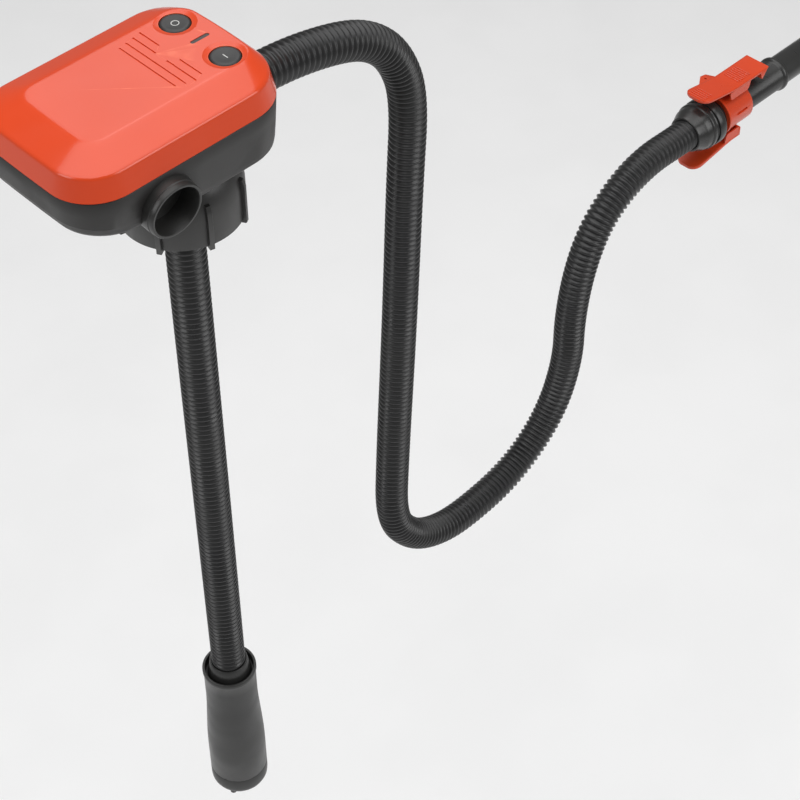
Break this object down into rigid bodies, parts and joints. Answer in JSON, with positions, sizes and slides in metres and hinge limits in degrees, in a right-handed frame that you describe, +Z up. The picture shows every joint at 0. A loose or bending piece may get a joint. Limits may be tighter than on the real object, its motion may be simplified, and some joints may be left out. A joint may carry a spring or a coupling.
{
  "type": "transfer pump",
  "caption": "Battery transfer pump with a can-neck screw collar, hanging suction hose and pump head, discharge hose and clip nozzle.",
  "frame": {"origin": "on the suction axis, in the plane of the screw collar's open mouth, where the can's neck enters", "axes": "+Z up along the suction axis, +X along the housing towards the discharge outlet, -Y towards the side nozzle holder"},
  "size_m": [0.7108, 0.1027, 0.6137],
  "materials": {
    "orange_abs": "gloss, moulded",
    "orange_pp": "satin, moulded",
    "black_abs": "fine satin",
    "hose_black": "semi-gloss ribbed",
    "nozzle_black": "satin",
    "button_black": "satin",
    "seal_rubber": "matte",
    "smoked_lens": "gloss",
    "board_green": "satin",
    "component_black": "matte",
    "light_white": "gloss",
    "screw_steel": "zinc plated",
    "cell_wrap": "shrink wrap",
    "cable_jacket": "matte",
    "motor_steel": "plated",
    "magnet_grey": "matte",
    "copper": "bare",
    "white_nylon": "satin"
  },
  "bodies": {
    "housing": {"battery_cells": "cell_wrap", "battery_cradle": "black_abs", "battery_leads": "cable_jacket", "board_connector": "component_black", "board_screws": "screw_steel", "brushes": "copper", "cable_seal": "seal_rubber", "charge_socket": "component_black", "collar_gasket": "seal_rubber", "control_board": "board_green", "discharge_hose": "hose_black", "housing_gasket": "seal_rubber", "housing_screws": "screw_steel", "indicator_lens": "smoked_lens", "indicator_light": "light_white", "lower_housing": "black_abs", "motor_bushes": "copper", "motor_cable": "cable_jacket", "motor_can": "motor_steel", "motor_end_cap": "white_nylon", "motor_magnets": "magnet_grey", "neck_manifold": "black_abs", "nozzle_cuff": "nozzle_black", "nozzle_holder": "black_abs", "nozzle_pipe": "nozzle_black", "off_switch": "component_black", "on_switch": "component_black", "outlet_spigot": "black_abs", "pump_head_shell": "black_abs", "pump_volute": "black_abs", "seal_plate": "black_abs", "shaft_seal": "seal_rubber", "spout_tube": "nozzle_black", "strainer_cap": "black_abs", "suction_cuff": "black_abs", "suction_hose": "hose_black", "top_cover": "orange_abs"},
    "off_button": {"off_button": "button_black"},
    "on_button": {"on_button": "button_black"},
    "screw_collar": {"screw_collar": "black_abs"},
    "rotor": {"motor_shaft": "motor_steel", "armature": "motor_steel", "commutator": "copper", "impeller": "white_nylon"},
    "clip": {"clip_band": "orange_pp"},
    "lever_upper": {"clip_lever_upper": "orange_pp"},
    "lever_lower": {"clip_lever_lower": "orange_pp"},
    "charge_plug": {"charge_plug": "seal_rubber"}
  },
  "joints": [
    {"name": "off_button_press", "type": "slide", "parent": "housing", "child": "off_button", "axis": [0, 0, -1], "range_m": [0, 0.0012], "stiffness_N_per_m": 1200, "springref_m": -0.0004},
    {"name": "on_button_press", "type": "slide", "parent": "housing", "child": "on_button", "axis": [0, 0, -1], "range_m": [0, 0.0012], "stiffness_N_per_m": 1200, "springref_m": -0.0004},
    {"name": "collar_turn", "type": "hinge", "parent": "housing", "child": "screw_collar", "pos_m": [0, 0, 0], "axis": [0, 0, 1], "continuous": true},
    {"name": "rotor_spin", "type": "hinge", "parent": "housing", "child": "rotor", "pos_m": [0, 0, -0.43], "axis": [0, 0, 1], "continuous": true},
    {"name": "clip_slide", "type": "slide", "parent": "housing", "child": "clip", "axis": [1, 0, 0], "range_m": [0, 0.018]},
    {"name": "lever_upper_squeeze", "type": "hinge", "parent": "clip", "child": "lever_upper", "pos_m": [0.4745, 0.00047, -0.17801], "axis": [0, -0.9997, 0.0262], "range_deg": [0, 3.5], "stiffness_Nm_per_rad": 0.6, "springref_deg": -1.15},
    {"name": "lever_lower_squeeze", "type": "hinge", "parent": "clip", "child": "lever_lower", "pos_m": [0.4745, -0.00047, -0.21399], "axis": [0, 0.9997, -0.0262], "range_deg": [0, 3.5], "stiffness_Nm_per_rad": 0.6, "springref_deg": -1.15},
    {"name": "charge_plug_pull", "type": "slide", "parent": "housing", "child": "charge_plug", "axis": [0, 1, 0], "range_m": [0, 0.0085]}
  ]
}
